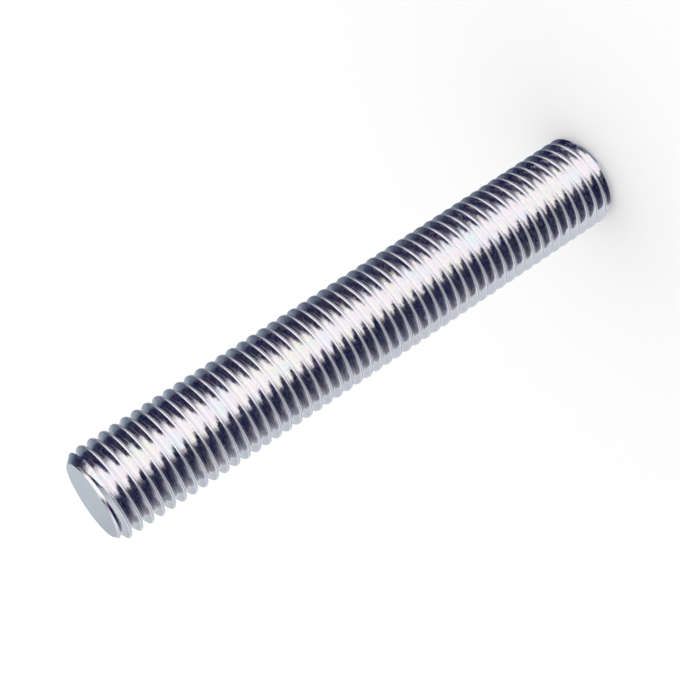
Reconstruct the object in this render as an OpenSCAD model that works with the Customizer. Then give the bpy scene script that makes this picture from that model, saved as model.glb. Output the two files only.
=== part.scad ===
/* [Rod] */
// Diameter over the thread crests
rod_d = 19.7; // [18:0.1:24]
// Length from end face to end face
rod_l = 125; // [60:5:140]

/* [Thread] */
// Pitch, the distance from one crest to the next
pitch = 2.5; // [2.25:0.25:3.5]
// Angle between the two flanks of the groove
flank_angle = 60; // [50:1:70]
// Width of the flat left along a crest
crest_w = 0.41; // [0.2:0.01:0.5]
// Width of the flat along the bottom of the groove
root_w = 0.47; // [0.2:0.01:0.6]

/* [Ends] */
// Step in from the bottom of the groove to the rim of an end face
rim_step = 0.3; // [0.1:0.05:1]
// Angle between an end face and its chamfer
chamfer_angle = 45; // [30:5:60]

/* [Smoothness] */
// Facets around one turn of the thread
facets = 24; // [16:4:24]

/* [Hidden] */

// What the two flats leave of the pitch is shared by the flanks, and sets how deep they meet
flank_w = (pitch - crest_w - root_w) / 2;
thread_depth = flank_w / tan(flank_angle / 2);
crest_r = rod_d / 2;
root_r = crest_r - thread_depth;

// The thread section over one pitch, as [height, radius] of each corner
section = [
  [0, crest_r],
  [crest_w, crest_r],
  [crest_w + flank_w, root_r],
  [pitch - flank_w, root_r]
];
corners = len(section);

// The section is swept past both end faces, for the blank to trim
overrun_turns = 1.5;
stations = facets * (ceil(rod_l / pitch) + 2 * overrun_turns);
start_z = -overrun_turns * pitch;
stop_z = start_z + stations / facets * pitch;

// The blank stands clear of the crests, so that it trims the ends alone
blank_gap = 1;
blank_facets = 96;
blank_r = crest_r + blank_gap;
rim_r = root_r - rim_step;
chamfer_h = (blank_r - rim_r) * tan(chamfer_angle);

// A right-hand helix: each station is one facet further round and a little higher
function thread_point(station, corner) =
  let (turn = station / facets)
  [
    section[corner][1] * cos(360 * turn),
    section[corner][1] * sin(360 * turn),
    start_z + pitch * turn + section[corner][0]
  ];

// Past its last corner the section meets its own first corner, one turn on
function point_index(station, corner) =
  corner == corners ? point_index(station + facets, 0)
  : station <= stations ? station * corners + corner
  : stations * (corners - 1) + station + corners - 1;

// Either end of the sweep is open along one turn of the first corner and one section
function rim_indices(station) = [
  for (step = [0:facets - 1]) point_index(station + step, 0),
  for (corner = [corners:-1:1]) point_index(station, corner)
];

module thread() {
  points = [
    for (station = [0:stations], corner = [0:corners - 1]) thread_point(station, corner),
    for (step = [1:facets]) thread_point(stations + step, 0),
    [0, 0, start_z],
    [0, 0, stop_z + pitch]
  ];
  upper_apex = len(points) - 1;
  lower_apex = upper_apex - 1;
  lower_rim = rim_indices(0);
  upper_rim = rim_indices(stations);
  rim_size = len(lower_rim);

  side_faces = [
    for (station = [0:stations - 1], corner = [0:corners - 1])
      let (
        a = point_index(station, corner),
        b = point_index(station, corner + 1),
        c = point_index(station + 1, corner + 1),
        d = point_index(station + 1, corner)
      )
      each [[a, b, c], [a, c, d]]
  ];
  end_faces = [
    for (i = [0:rim_size - 1])
      let (next = (i + 1) % rim_size)
      each [
        [lower_apex, lower_rim[i], lower_rim[next]],
        [upper_apex, upper_rim[next], upper_rim[i]]
      ]
  ];
  polyhedron(points, concat(side_faces, end_faces));
}

module blank() {
  rotate_extrude($fn = blank_facets)
    polygon([
      [0, 0],
      [rim_r, 0],
      [blank_r, chamfer_h],
      [blank_r, rod_l - chamfer_h],
      [rim_r, rod_l],
      [0, rod_l]
    ]);
}

module threaded_rod() {
  color("silver")
    intersection() {
      thread();
      blank();
    }
}

threaded_rod();
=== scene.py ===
"""Looks of a zinc-plated threaded rod that stands on its lower end."""
import math

import bpy
from mathutils import Matrix, Vector


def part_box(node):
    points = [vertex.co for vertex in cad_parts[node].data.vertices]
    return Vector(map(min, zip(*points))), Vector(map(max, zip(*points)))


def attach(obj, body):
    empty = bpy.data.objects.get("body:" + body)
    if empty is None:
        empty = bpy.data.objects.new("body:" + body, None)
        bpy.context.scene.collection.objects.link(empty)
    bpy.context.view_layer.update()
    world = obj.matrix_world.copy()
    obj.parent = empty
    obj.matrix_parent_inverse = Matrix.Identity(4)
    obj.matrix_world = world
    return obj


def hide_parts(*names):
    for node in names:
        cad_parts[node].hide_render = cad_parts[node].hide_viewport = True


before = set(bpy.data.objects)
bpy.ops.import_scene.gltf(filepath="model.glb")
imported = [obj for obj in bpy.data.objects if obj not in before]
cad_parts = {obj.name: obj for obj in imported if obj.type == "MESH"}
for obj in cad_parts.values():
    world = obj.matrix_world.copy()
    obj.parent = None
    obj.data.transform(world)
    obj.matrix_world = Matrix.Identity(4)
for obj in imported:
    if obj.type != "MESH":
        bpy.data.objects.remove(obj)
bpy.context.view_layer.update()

bl_info = {
    "name": "Threaded Rod",
    "version": (1, 0, 0),
    "blender": (4, 5, 0),
    "location": "3D Viewport > Sidebar > Threaded Rod",
    "description": "Makes a zinc-plated threaded rod and the studio that it stands in",
    "category": "Add Mesh",
}

NODE = "threaded_rod"
MM = 0.001
NODE_LOW, NODE_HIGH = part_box(NODE)

# Painted reflections: the curtain glows, and only the metal sees it, so its bands paint the light
# and shade that the rod mirrors.
# The bands of tone of the studio's curtain, right round the rod, set to suit the photo.
# Heights are elevations from the rod's middle. Each band has a colour, and its azimuth at each of
# the heights, in degrees. It is white on the camera's left, navy on both sides of that, then grey.
REFLECTION_CURTAIN_HEIGHTS = (-52, -38, -27, -17, -9, 0, 10, 54)
REFLECTION_CURTAIN_BANDS = (
    ("#D4DCE2", (-181, -181, -178, -164, -166, -181, -181, -181)),
    ("#8290A0", (-174, -174, -164, -148, -150, -160, -157, -172)),
    ("#465064", (-152, -152, -148, -140, -141, -148, -139, -158)),
    ("#1A1D3E", (-132, -132, -132, -131, -131, -132, -128, -146)),
    ("#1C1A3E", (-54, -60, -68, -86, -84, -69, -120, -134)),
    ("#504C68", (-46, -50, -56, -77, -74, -58, -108, -122)),
    ("#FFFFFF", (-34, -38, -45, -60, -56, -45, -94, -104)),
    ("#FFFFFF", (-18, -6, 7, 21, 17, 10, 20, 20)),
    ("#11143A", (-2, 10, 22, 35, 32, 25, 36, 38)),
    ("#14183A", (42, 50, 62, 72, 84, 88, 56, 50)),
    ("#3C3E52", (54, 62, 74, 92, 98, 103, 64, 56)),
    ("#6A6B7A", (66, 74, 87, 112, 114, 118, 72, 64)),
    ("#9496A0", (74, 82, 96, 136, 132, 134, 82, 76)),
    ("#C8CAD2", (84, 92, 109, 154, 147, 145, 98, 92)),
    ("#E2E8EE", (98, 106, 126, 164, 157, 154, 122, 120)),
    ("#A6ACB6", (179, 179, 179, 179, 179, 179, 179, 179)),
)


def linear(hex_colour):
    """A linear RGBA colour from an sRGB hex value, by the standard sRGB curve."""
    channels = [int(hex_colour[i:i + 2], 16) / 255 for i in (1, 3, 5)]
    return tuple(c / 12.92 if c <= 0.04045 else ((c + 0.055) / 1.055) ** 2.4
                 for c in channels) + (1.0,)


def add(tree, kind, inputs=None, out=0, **settings):
    """Add a node with its settings and links.

    Each input is a socket to link, or a value. It returns the output numbered or named by out, or
    the node itself if out is None."""
    node = tree.nodes.new(kind)
    for name, value in settings.items():
        setattr(node, name, value)
    for key, value in (inputs or {}).items():
        if isinstance(value, bpy.types.NodeSocket):
            tree.links.new(value, node.inputs[key])
        else:
            node.inputs[key].default_value = value
    return node if out is None else node.outputs[out]


class RodSizes(bpy.types.PropertyGroup):
    """Sizes of the rod and its thread. Those that the frame doesn't give are the source's."""
    crest_diameter: bpy.props.FloatProperty(
        name="Crest Diameter", description="Diameter over the thread crests",
        default=NODE_HIGH[0] - NODE_LOW[0], unit="LENGTH", precision=5)
    length: bpy.props.FloatProperty(
        name="Length", description="From end face to end face",
        default=NODE_HIGH[2] - NODE_LOW[2], unit="LENGTH", precision=5)
    pitch: bpy.props.FloatProperty(
        name="Pitch", description="From one crest to the next",
        default=2.5 * MM, unit="LENGTH", precision=5)
    crest_width: bpy.props.FloatProperty(
        name="Crest Width", description="Flat left along a crest before it is rounded",
        default=0.41 * MM, unit="LENGTH", precision=5)
    root_width: bpy.props.FloatProperty(
        name="Root Width", description="Flat along the bottom of the groove before it is rounded",
        default=0.47 * MM, unit="LENGTH", precision=5)
    flank_angle: bpy.props.FloatProperty(
        name="Flank Angle", description="Angle between the two flanks of the groove",
        default=math.radians(60), unit="ROTATION")
    crest_rounding: bpy.props.FloatProperty(
        name="Crest Rounding", description="Radius that rolling leaves along the edges of a crest",
        default=0.3 * MM, unit="LENGTH", precision=5)
    root_rounding: bpy.props.FloatProperty(
        name="Root Rounding", description="Radius at the foot of each flank",
        default=0.05 * MM, unit="LENGTH", precision=5)
    flank_hollow: bpy.props.FloatProperty(
        name="Flank Hollow",
        description="How far the middle of a flank lies behind a straight one",
        default=0.05 * MM, unit="LENGTH", precision=5)
    flank_rounding: bpy.props.FloatProperty(
        name="Flank Rounding", description="Radius of the hollow in the middle of a flank",
        default=8 * MM, unit="LENGTH", precision=5)
    rim_step: bpy.props.FloatProperty(
        name="Rim Step",
        description="Step in from the bottom of the groove to the rim of an end face",
        default=0.3 * MM, unit="LENGTH", precision=5)
    chamfer_angle: bpy.props.FloatProperty(
        name="Chamfer Angle", description="Angle between an end face and its chamfer",
        default=math.radians(45), unit="ROTATION")
    facets: bpy.props.IntProperty(
        name="Facets per Turn", description="Facets around one turn of the thread",
        default=72, min=16)


class RodFinish(bpy.types.PropertyGroup):
    """Colours and gloss of the zinc plate."""
    crest: bpy.props.FloatVectorProperty(
        name="Crest", description="Dull plate along the crests",
        default=linear("#F8F7FF"), size=4, subtype="COLOR")
    roughness: bpy.props.FloatProperty(
        name="Roughness", description="Roughness of the plated flanks",
        default=0.06, min=0, max=1)


class StudioLook(bpy.types.PropertyGroup):
    """The floor of the studio."""
    floor: bpy.props.FloatVectorProperty(
        name="Floor", description="Pale floor",
        default=linear("#F2F2F2"), size=4, subtype="COLOR")


def new_material(name):
    """An empty node material and its tree."""
    material = bpy.data.materials.new(name)
    material.use_nodes = True
    material.node_tree.nodes.clear()
    return material, material.node_tree


# Grains of the plate: the real size in millimetres, and how much finer grain lies within each
PLATE_GRAINS = {
    "ragged": (0.5, 2),
    "film": (5, 2),
    "cloud": (0.7, 3),
    "speck": (0.22, 1),
    "swell": (2.2, 2),
}
FILM_TINTS = ("#F6FAFC", "#FBFAF5", "#FDF9FB", "#FCF7FA", "#F9F8FE", "#F5FAFB")


def die_lines(tree, flat, radius, height, crest_r):
    """Fine lines that the dies leave along the thread: close across it and long round the rod."""
    length, spacing = 2.5 * MM, 0.12 * MM
    around = add(tree, "ShaderNodeVectorMath", {0: flat}, operation="NORMALIZE")
    around = add(tree, "ShaderNodeVectorMath", {0: around, "Scale": crest_r / length},
                 operation="SCALE")
    across = add(tree, "ShaderNodeMath", {0: height, 1: radius}, operation="ADD")
    across = add(tree, "ShaderNodeMath", {0: across, 1: spacing}, operation="DIVIDE")
    across = add(tree, "ShaderNodeCombineXYZ", {2: across})
    place = add(tree, "ShaderNodeVectorMath", {0: around, 1: across}, operation="ADD")
    return add(tree, "ShaderNodeTexNoise", {"Vector": place, "Scale": 1.0, "Detail": 3})


def turned_rings(tree, radius, end_face):
    """Rings that the turning tool leaves on the end faces."""
    spacing = 0.3 * MM
    place = add(tree, "ShaderNodeMath", {0: radius, 1: spacing}, operation="DIVIDE")
    place = add(tree, "ShaderNodeCombineXYZ", {2: place})
    rings = add(tree, "ShaderNodeTexNoise", {"Vector": place, "Scale": 1.0, "Detail": 2})
    return add(tree, "ShaderNodeMapRange", {
        "Value": rings, "From Min": 0.35, "From Max": 0.65, "To Max": end_face})


def chromate_film(tree, grain):
    """Soft tints of the clear film over the zinc, which drift along the rod."""
    place = add(tree, "ShaderNodeMapRange", {"Value": grain, "From Min": 0.3, "From Max": 0.7})
    film = add(tree, "ShaderNodeValToRGB", {"Fac": place}, out=None)
    stops = film.color_ramp.elements
    while len(stops) < len(FILM_TINTS):
        stops.new(0.5)
    for i, tint in enumerate(FILM_TINTS):
        stops[i].position = i / (len(FILM_TINTS) - 1)
        stops[i].color = linear(tint)
    return film.outputs["Color"]


def plate_zones(tree, radius, facing_up, ragged, sizes):
    """Masks of the places where the plate differs from that on the burnished flanks.

    The crest is the outermost skin, with a ragged edge. The shoulder is the top of each upper
    flank, where the dies let go first. The root is the bottom of the groove, where the bath throws
    less zinc and leaves it satin."""
    crest_r = sizes.crest_diameter / 2
    flank_w = (sizes.pitch - sizes.crest_width - sizes.root_width) / 2
    root_r = crest_r - flank_w / math.tan(sizes.flank_angle / 2)
    ragged_by = 0.06 * MM
    edge = add(tree, "ShaderNodeMath", {0: ragged, 1: ragged_by, 2: radius},
               operation="MULTIPLY_ADD")
    upper_flank = add(tree, "ShaderNodeMapRange", {
        "Value": facing_up, "From Min": 0.2, "From Max": 0.6})
    facing_ends = add(tree, "ShaderNodeMath", {0: facing_up}, operation="ABSOLUTE")

    # What each zone is read from, where it begins and where it is full, and how strong it is there
    zones = {
        "crest": (edge, crest_r - 0.11 * MM, crest_r - 0.02 * MM, 1.0),
        "shoulder": (radius, crest_r - 0.35 * MM, crest_r - 0.1 * MM, upper_flank),
        "root": (radius, root_r + 0.12 * MM, root_r + 0.03 * MM, 1.0),
        "end_face": (facing_ends, 0.97, 0.99, 1.0),
    }
    return {name: add(tree, "ShaderNodeMapRange", {
        "Value": value, "From Min": begin, "From Max": full, "To Max": strength})
        for name, (value, begin, full, strength) in zones.items()}


def zinc_plated_steel(finish, sizes):
    """Rolled steel with bright electroplated zinc.

    The dies burnish the flanks, so the plate on them is a hard, slightly blue mirror. They hardly
    touch the crests, so the plate there is dull and milky and draws a pale line along each turn."""
    material, tree = new_material("zinc_plated_steel")
    place = add(tree, "ShaderNodeTexCoord", out=None).outputs
    flat = add(tree, "ShaderNodeVectorMath", {0: place["Object"], 1: (1, 1, 0)},
               operation="MULTIPLY")
    radius = add(tree, "ShaderNodeVectorMath", {0: flat}, out=1, operation="LENGTH")
    height = add(tree, "ShaderNodeSeparateXYZ", {0: place["Object"]}, out=2)
    facing_up = add(tree, "ShaderNodeSeparateXYZ", {0: place["Normal"]}, out=2)
    grains = {name: add(tree, "ShaderNodeTexNoise", {
        "Vector": place["Object"], "Scale": 1 / (size * MM), "Detail": detail})
        for name, (size, detail) in PLATE_GRAINS.items()}
    lines = die_lines(tree, flat, radius, height, sizes.crest_diameter / 2)
    zones = plate_zones(tree, radius, facing_up, grains["ragged"], sizes)
    rings = turned_rings(tree, radius, zones["end_face"])

    # Cloudy patches scatter a little more, and specks are as dull as the crests
    cloud = add(tree, "ShaderNodeMapRange", {
        "Value": grains["cloud"], "From Min": 0.45, "From Max": 0.8})
    speck = add(tree, "ShaderNodeMapRange", {
        "Value": grains["speck"], "From Min": 0.74, "From Max": 0.8})
    dull = add(tree, "ShaderNodeMath", {0: zones["crest"], 1: speck}, operation="MAXIMUM")

    # Colour: the tints of the film, milky where dull, and a little darker in the turned rings
    colour = chromate_film(tree, grains["film"])
    for mask, tone in ((dull, tuple(finish.crest)), (rings, linear("#D6DAE2"))):
        colour = add(tree, "ShaderNodeMix", {"Factor": mask, "A": colour, "B": tone},
                     data_type="RGBA", out=2)
    milk = add(tree, "ShaderNodeMath", {0: cloud, 1: -0.04, 2: 1.0}, operation="MULTIPLY_ADD")
    metallic = add(tree, "ShaderNodeMix", {"Factor": dull, "A": milk, "B": 0.72},
                   data_type="FLOAT")

    # Gloss: the polish of the flanks, a little uneven, then the roughness of each duller zone
    roughness = add(tree, "ShaderNodeMath", {0: cloud, 1: 0.15, 2: finish.roughness},
                    operation="MULTIPLY_ADD")
    roughness = add(tree, "ShaderNodeMath", {0: lines, 1: 0.08, 2: roughness},
                    operation="MULTIPLY_ADD")
    for mask, value in ((zones["root"], 0.2), (zones["shoulder"], 0.27), (dull, 0.25),
                        (zones["end_face"], 0.24)):
        roughness = add(tree, "ShaderNodeMix", {"Factor": mask, "A": roughness, "B": value},
                        data_type="FLOAT")

    # Relief: the long swell of the rolled surface, then the die lines and the turned rings
    rolled = add(tree, "ShaderNodeMath", {0: 1.0, 1: zones["end_face"]}, operation="SUBTRACT")
    relief = add(tree, "ShaderNodeBump", {
        "Strength": rolled, "Height": grains["swell"], "Distance": 0.08 * MM})
    for grain, depth in ((lines, 0.0015 * MM), (rings, 0.01 * MM)):
        relief = add(tree, "ShaderNodeBump", {"Height": grain, "Distance": depth, "Normal": relief})
    shader = add(tree, "ShaderNodeBsdfPrincipled", {
        "Base Color": colour, "Metallic": metallic, "Roughness": roughness, "Normal": relief})
    add(tree, "ShaderNodeOutputMaterial", {"Surface": shader}, out=None)
    return material


def reflection_curtain_material():
    """A glowing sheet that shows its own colours and nothing else, to paint reflections in the
    metal.
    """
    material, tree = new_material("painted_reflection_curtain")
    colour = add(tree, "ShaderNodeAttribute", attribute_name="band")
    glow = add(tree, "ShaderNodeEmission", {"Color": colour})
    add(tree, "ShaderNodeOutputMaterial", {"Surface": glow}, out=None)
    return material


# The sums of the thread, each as its result, its Math operation and what goes into it. Heights run
# up the rod and radii out from its axis. The section runs from the middle of one crest to that of
# the next, and the sweep runs past each end of the rod, for the cones to trim.
OVERRUN_TURNS = 1.5
HALF = 0.5  # tells whole numbers apart
SECTION_SUMS = (
    ("crest_r", "DIVIDE", "Crest Diameter", 2.0),
    ("flats", "ADD", "Crest Width", "Root Width"),
    ("both_flanks", "SUBTRACT", "Pitch", "flats"),
    ("flank_w", "DIVIDE", "both_flanks", 2.0),
    ("half_angle", "DIVIDE", "Flank Angle", 2.0),
    ("flank_slope", "TANGENT", "half_angle"),
    ("depth", "DIVIDE", "flank_w", "flank_slope"),
    ("root_r", "SUBTRACT", "crest_r", "depth"),
    ("crest_edge", "DIVIDE", "Crest Width", 2.0),
    ("groove_start", "ADD", "crest_edge", "flank_w"),
    ("groove_end", "ADD", "groove_start", "Root Width"),
    ("next_edge", "SUBTRACT", "Pitch", "crest_edge"),
    ("hollow_up", "COSINE", "half_angle"),
    ("hollow_up", "MULTIPLY", "Flank Hollow", "hollow_up"),
    ("hollow_in", "SINE", "half_angle"),
    ("hollow_in", "MULTIPLY", "Flank Hollow", "hollow_in"),
    ("lower_middle", "MULTIPLY_ADD", "flank_w", 0.5, "crest_edge"),
    ("lower_middle", "SUBTRACT", "lower_middle", "hollow_up"),
    ("upper_middle", "SUBTRACT", "Pitch", "lower_middle"),
    ("middle_r", "MULTIPLY_ADD", "depth", 0.5, "root_r"),
    ("middle_r", "SUBTRACT", "middle_r", "hollow_in"),
    ("turns", "DIVIDE", "Length", "Pitch"),
    ("turns", "CEIL", "turns"),
    ("turns", "ADD", "turns", 2 * OVERRUN_TURNS),
    ("start_z", "MULTIPLY_ADD", "Pitch", -OVERRUN_TURNS, "crest_edge"),
    ("past_z", "ADD", "turns", 1.0),
    ("past_z", "MULTIPLY_ADD", "Pitch", "past_z", "start_z"),
    ("last_station", "MULTIPLY", "Facets per Turn", "turns"),
    ("last_station", "ROUND", "last_station"),
    ("stations", "ADD", "last_station", 1.0),
    ("rim_r", "SUBTRACT", "root_r", "Rim Step"),
    ("chamfer_slope", "TANGENT", "Chamfer Angle"),
    ("flare", "DIVIDE", "Length", "chamfer_slope"),
    ("wide_r", "ADD", "rim_r", "flare"),
)
# The section's corners, each with its height, its radius and its rounding
SECTION_CORNERS = (
    (0.0, "crest_r", None),
    ("crest_edge", "crest_r", "Crest Rounding"),
    ("lower_middle", "middle_r", "Flank Rounding"),
    ("groove_start", "root_r", "Root Rounding"),
    ("groove_end", "root_r", "Root Rounding"),
    ("upper_middle", "middle_r", "Flank Rounding"),
    ("next_edge", "crest_r", "Crest Rounding"),
    ("Pitch", "crest_r", None),
)
# Where each point of the sweep lies. The open rim of the first turn closes to a point below the
# rod, and that of the last turn to one above it.
SWEEP_SUMS = (
    ("station", "DIVIDE", "index", "corners"),
    ("station", "FLOOR", "station"),
    ("corner", "MODULO", "index", "corners"),
    ("turn", "DIVIDE", "station", "Facets per Turn"),
    ("angle", "MULTIPLY", "turn", math.tau),
    ("cosine", "COSINE", "angle"),
    ("sine", "SINE", "angle"),
    ("climb", "MULTIPLY_ADD", "Pitch", "turn", "start_z"),
    ("last_turn", "SUBTRACT", "last_station", "Facets per Turn"),
    ("last_corner", "SUBTRACT", "corners", 1.0),
    ("at_start", "LESS_THAN", "station", HALF),
    ("at_end", "COMPARE", "station", "last_station", HALF),
    ("first_corner", "LESS_THAN", "corner", HALF),
    ("final_corner", "COMPARE", "corner", "last_corner", HALF),
    ("in_last_turn", "SUBTRACT", "station", "last_turn"),
    ("in_last_turn", "GREATER_THAN", "in_last_turn", -HALF),
    ("in_first_turn", "SUBTRACT", "station", "Facets per Turn"),
    ("in_first_turn", "LESS_THAN", "in_first_turn", HALF),
    ("lower_rim", "MULTIPLY", "first_corner", "in_first_turn"),
    ("lower_rim", "MAXIMUM", "lower_rim", "at_start"),
    ("upper_rim", "MULTIPLY", "final_corner", "in_last_turn"),
    ("upper_rim", "MAXIMUM", "upper_rim", "at_end"),
)


def rounded_section(tree, size):
    """The thread's outline over one pitch, as a curve with heights along x and radii along y."""
    for name, operation, *terms in SECTION_SUMS:
        size[name] = add(tree, "ShaderNodeMath", {
            i: size.get(term, term) for i, term in enumerate(terms)}, operation=operation)
    index = add(tree, "GeometryNodeInputIndex")
    corner_at, rounding_at = (
        add(tree, "GeometryNodeIndexSwitch", {0: index}, out=None, data_type=kind)
        for kind in ("VECTOR", "FLOAT"))
    for switch in (corner_at, rounding_at):
        while len(switch.index_switch_items) < len(SECTION_CORNERS):
            switch.index_switch_items.new()
    for i, (height, radius, rounding) in enumerate(SECTION_CORNERS):
        spot = add(tree, "ShaderNodeCombineXYZ", {0: size.get(height, height), 1: size[radius]})
        tree.links.new(spot, corner_at.inputs[i + 1])
        if rounding:
            tree.links.new(size[rounding], rounding_at.inputs[i + 1])
    line = add(tree, "GeometryNodeMeshLine", {"Count": len(SECTION_CORNERS), "Offset": (MM, 0, 0)})
    line = add(tree, "GeometryNodeSetPosition", {
        "Geometry": line, "Position": corner_at.outputs[0]})
    outline = add(tree, "GeometryNodeMeshToCurve", {"Mesh": line})
    rounding_steps = 3
    return add(tree, "GeometryNodeFilletCurve", {
        "Curve": outline, "Count": rounding_steps, "Radius": rounding_at.outputs[0],
        "Limit Radius": True}, mode="POLY")


def helix_sweep(tree, section, size):
    """The section swept along the helix, from below the rod to above it, as one closed body.

    It starts as a flat grid, with one column for each station along the helix."""
    size["index"] = add(tree, "GeometryNodeInputIndex")
    size["corners"] = add(tree, "GeometryNodeAttributeDomainSize", {"Geometry": section},
                          component="CURVE")
    for name, operation, *terms in SWEEP_SUMS:
        size[name] = add(tree, "ShaderNodeMath", {
            i: size.get(term, term) for i, term in enumerate(terms)}, operation=operation)
    grid = add(tree, "GeometryNodeMeshGrid", {
        "Vertices X": size["stations"], "Vertices Y": size["corners"]})
    spot = add(tree, "GeometryNodeSampleIndex", {
        "Geometry": section, "Value": add(tree, "GeometryNodeInputPosition"),
        "Index": size["corner"]}, data_type="FLOAT_VECTOR")
    height, radius = add(tree, "ShaderNodeSeparateXYZ", {0: spot}, out=None).outputs[:2]
    axes = [add(tree, "ShaderNodeMath", {0: radius, 1: size[way]}, operation="MULTIPLY")
            for way in ("cosine", "sine")]
    axes.append(add(tree, "ShaderNodeMath", {0: height, 1: size["climb"]}, operation="ADD"))
    spot = add(tree, "ShaderNodeCombineXYZ", dict(enumerate(axes)))
    for rim, point_z in (("lower_rim", "start_z"), ("upper_rim", "past_z")):
        point = add(tree, "ShaderNodeCombineXYZ", {2: size[point_z]})
        spot = add(tree, "GeometryNodeSwitch", {0: size[rim], 1: spot, 2: point},
                   input_type="VECTOR")
    sweep = add(tree, "GeometryNodeSetPosition", {"Geometry": grid, "Position": spot})
    return add(tree, "GeometryNodeMergeByDistance", {"Geometry": sweep, "Distance": 0.001 * MM})


def trimmed_rod(tree, sweep, size):
    """What two cones, mouth to mouth, leave of the sweep: the rod with its ends and chamfers."""
    trim = add(tree, "GeometryNodeMeshBoolean", out=None, operation="INTERSECT", solver="MANIFOLD")
    tree.links.new(sweep, trim.inputs[1])
    for bottom, top in (("rim_r", "wide_r"), ("wide_r", "rim_r")):
        cone = add(tree, "GeometryNodeMeshCone", {
            "Vertices": size["Facets per Turn"], "Radius Bottom": size[bottom],
            "Radius Top": size[top], "Depth": size["Length"]})
        tree.links.new(cone, trim.inputs[1])
    return trim.outputs[0]


def thread_tree(material, values):
    """Geometry Nodes tree of the rod, with an input for each of its sizes."""
    tree = bpy.data.node_groups.new("rolled_thread", "GeometryNodeTree")
    for name, value in values.items():
        kind = "NodeSocketInt" if isinstance(value, int) else "NodeSocketFloat"
        tree.interface.new_socket(name, in_out="INPUT", socket_type=kind)
    tree.interface.new_socket("Rod", in_out="OUTPUT", socket_type="NodeSocketGeometry")
    size = {socket.name: socket for socket in add(tree, "NodeGroupInput", out=None).outputs}
    section = rounded_section(tree, size)
    rod = trimmed_rod(tree, helix_sweep(tree, section, size), size)

    # Smooth, but with crisp edges round the end faces
    crisp_from = math.radians(35)
    crisp = add(tree, "FunctionNodeCompare", {
        0: add(tree, "GeometryNodeInputMeshEdgeAngle"), 1: crisp_from},
        operation="GREATER_THAN", data_type="FLOAT")
    rod = add(tree, "GeometryNodeSetShadeSmooth", {"Geometry": rod, "Shade Smooth": True},
              domain="FACE")
    rod = add(tree, "GeometryNodeSetShadeSmooth", {
        "Geometry": rod, "Selection": crisp, "Shade Smooth": False}, domain="EDGE")
    rod = add(tree, "GeometryNodeRealizeInstances", {"Geometry": rod})
    rod = add(tree, "GeometryNodeSetMaterial", {"Geometry": rod, "Material": material})
    add(tree, "NodeGroupOutput", {"Rod": rod}, out=None)
    return tree


def plain_mesh(name, tree, values):
    """The tree's result as a mesh object of its own, with no modifier left on it."""
    maker = bpy.data.objects.new(name + "_maker", bpy.data.meshes.new(name + "_maker"))
    bpy.context.scene.collection.objects.link(maker)
    modifier = maker.modifiers.new(name, "NODES")
    modifier.node_group = tree
    for item in tree.interface.items_tree:
        if item.in_out == "INPUT":
            modifier[item.identifier] = values[item.name]
    evaluated = maker.evaluated_get(bpy.context.evaluated_depsgraph_get())
    mesh = bpy.data.meshes.new_from_object(evaluated)
    maker.modifiers.clear()
    bpy.data.objects.remove(maker)
    mesh.name = name
    piece = bpy.data.objects.new(name, mesh)
    bpy.context.scene.collection.objects.link(piece)
    return piece


class OBJECT_OT_rolled_rod(bpy.types.Operator):
    """Make the rod, with its rolled thread and chamfered ends"""
    bl_idname = "object.rolled_rod"
    bl_label = "Threaded Rod"

    def execute(self, context):
        sizes = context.scene.rod_sizes
        values = {sizes.bl_rna.properties[key].name: getattr(sizes, key)
                  for key in RodSizes.__annotations__}
        material = zinc_plated_steel(context.scene.rod_finish, sizes)
        rod = plain_mesh("rolled_rod", thread_tree(material, values), values)
        if not rod.data.polygons:
            raise RuntimeError("the thread came out empty")
        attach(rod, "root")
        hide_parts(NODE)
        return {"FINISHED"}


def far_point(azimuth, elevation, reach):
    """A point far from the rod's middle.

    Azimuth 0 is the camera's side, and grows towards the photo's lower right."""
    turn, rise = math.radians(azimuth), math.radians(elevation)
    out = reach * math.cos(rise)
    return (-out * math.sin(turn), -out * math.cos(turn),
            NODE_HIGH[2] / 2 + reach * math.sin(rise))


def reflection_curtain_mesh(reach):
    """A far glowing curtain round the rod, in upright bands that fade into each other: painted
    reflections for the metal.

    Below its first height and above its last, each band runs straight on, nearly to the poles."""
    pole = 88
    rows = ([(-pole, 0)] + [(height, i) for i, height in enumerate(REFLECTION_CURTAIN_HEIGHTS)]
            + [(pole, len(REFLECTION_CURTAIN_HEIGHTS) - 1)])
    vertices, faces = [], []
    for row, (elevation, i) in enumerate(rows):
        for column, (_, azimuths) in enumerate(REFLECTION_CURTAIN_BANDS):
            vertices.append(far_point(azimuths[i], elevation, reach))
            if row and column:
                corner = row * len(REFLECTION_CURTAIN_BANDS) + column
                below = corner - len(REFLECTION_CURTAIN_BANDS)
                faces.append((below - 1, below, corner, corner - 1))
    mesh = bpy.data.meshes.new("reflection_curtain")
    mesh.from_pydata(vertices, [], faces)
    colours = mesh.color_attributes.new("band", "FLOAT_COLOR", "POINT")
    for i, colour in enumerate(colours.data):
        colour.color = linear(REFLECTION_CURTAIN_BANDS[i % len(REFLECTION_CURTAIN_BANDS)][0])
    return mesh


def floor_mesh(width):
    """A square sheet at the rod's foot."""
    mesh = bpy.data.meshes.new("floor")
    h = width / 2
    mesh.from_pydata([(-h, -h, 0), (h, -h, 0), (h, h, 0), (-h, h, 0)], [], [(0, 1, 2, 3)])
    return mesh


def stage_object(name, mesh, material, hidden_from):
    """Put a mesh in the scene as part of the studio, hidden from some kinds of ray."""
    prop = bpy.data.objects.new(name, mesh)
    bpy.context.scene.collection.objects.link(prop)
    mesh.materials.append(material)
    for ray in hidden_from:
        setattr(prop, "visible_" + ray, False)


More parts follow.
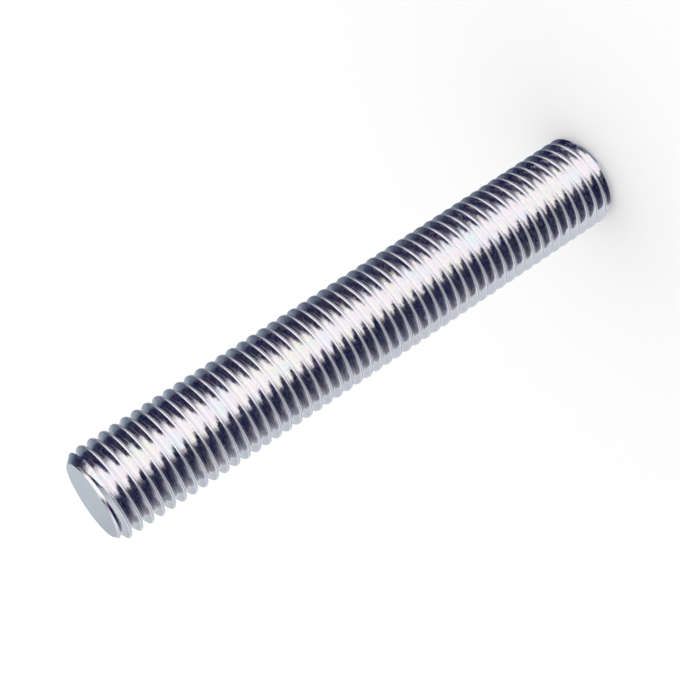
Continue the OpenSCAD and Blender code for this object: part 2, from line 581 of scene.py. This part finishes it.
def floor_material(look):
    """Matt white paper that keeps the rod's shadow, and stays white to the eye and where metal or
    glass shows it."""
    glow_strength = 0.12
    material, tree = new_material("white_paper")
    matt = add(tree, "ShaderNodeBsdfDiffuse", {"Color": tuple(look.floor)})
    path = add(tree, "ShaderNodeLightPath", out=None).outputs
    seen = path["Is Camera Ray"]
    for ray in ("Is Glossy Ray", "Is Transmission Ray"):
        seen = add(tree, "ShaderNodeMath", {0: seen, 1: path[ray]}, operation="MAXIMUM")
    strength = add(tree, "ShaderNodeMath", {0: seen, 1: glow_strength}, operation="MULTIPLY")
    glow = add(tree, "ShaderNodeEmission", {"Color": (1, 1, 1, 1), "Strength": strength})
    both = add(tree, "ShaderNodeAddShader", {0: matt, 1: glow})
    add(tree, "ShaderNodeOutputMaterial", {"Surface": both}, out=None)
    return material


def white_world():
    """Even white light from all sides."""
    world = bpy.data.worlds.new("studio")
    world.use_nodes = True
    tree = world.node_tree
    tree.nodes.clear()
    background = add(tree, "ShaderNodeBackground", {"Color": (1, 1, 1, 1), "Strength": 1.0})
    add(tree, "ShaderNodeOutputWorld", {"Surface": background}, out=None)
    return world


def photo_camera():
    """The photo's camera, fitted to the rod's outlines and to its crest lines at both ends."""
    focal_px, image_px, sensor_mm = 1796.8, 680, 36.0
    right = Vector((-0.55013, -0.29274, -0.78209))
    up = Vector((0.83508, -0.19285, -0.51521))
    back = Vector((0.0, -0.93654, 0.35056))
    place = Matrix.Translation((-0.541 * MM, -333.10 * MM, 190.77 * MM))
    camera = bpy.data.cameras.new("camera")
    camera.sensor_width = sensor_mm
    camera.lens = sensor_mm * focal_px / image_px
    eye = bpy.data.objects.new("camera", camera)
    eye.matrix_world = place @ Matrix((right, up, back)).transposed().to_4x4()
    return eye


class OBJECT_OT_rod_studio(bpy.types.Operator):
    """Make the floor, the curtain, the light and the camera"""
    bl_idname = "object.rod_studio"
    bl_label = "Studio"

    def execute(self, context):
        scene = context.scene
        # The metal mirrors the curtain alone, a glowing sheet of painted reflections that lights
        # nothing and hides nothing
        stage_object("floor", floor_mesh(width=12.0), floor_material(scene.studio_look),
                     hidden_from=("glossy",))
        stage_object("reflection_curtain", reflection_curtain_mesh(reach=4.0), reflection_curtain_material(),
                     hidden_from=("camera", "diffuse", "transmission", "volume_scatter", "shadow"))
        scene.world = white_world()
        scene.camera = photo_camera()
        scene.collection.objects.link(scene.camera)
        scene.view_settings.view_transform = "Standard"
        return {"FINISHED"}


class VIEW3D_PT_threaded_rod(bpy.types.Panel):
    """Lists the sizes, the finish and the makers"""
    bl_label = "Threaded Rod"
    bl_space_type = "VIEW_3D"
    bl_region_type = "UI"
    bl_category = "Threaded Rod"

    def draw(self, context):
        for group in (context.scene.rod_sizes, context.scene.rod_finish, context.scene.studio_look):
            box = self.layout.box()
            for name in group.__annotations__:
                box.prop(group, name)
        for operator in OPERATORS:
            self.layout.operator(operator.bl_idname)


GROUPS = {"rod_sizes": RodSizes, "rod_finish": RodFinish, "studio_look": StudioLook}
OPERATORS = (OBJECT_OT_rolled_rod, OBJECT_OT_rod_studio)
CLASSES = tuple(GROUPS.values()) + OPERATORS + (VIEW3D_PT_threaded_rod,)


def register():
    for cls in CLASSES:
        bpy.utils.register_class(cls)
    for name, group in GROUPS.items():
        setattr(bpy.types.Scene, name, bpy.props.PointerProperty(type=group))


def unregister():
    for name in GROUPS:
        delattr(bpy.types.Scene, name)
    for cls in reversed(CLASSES):
        bpy.utils.unregister_class(cls)


def main():
    register()
    bpy.ops.object.rolled_rod()
    bpy.ops.object.rod_studio()


if __name__ == "__main__":
    main()
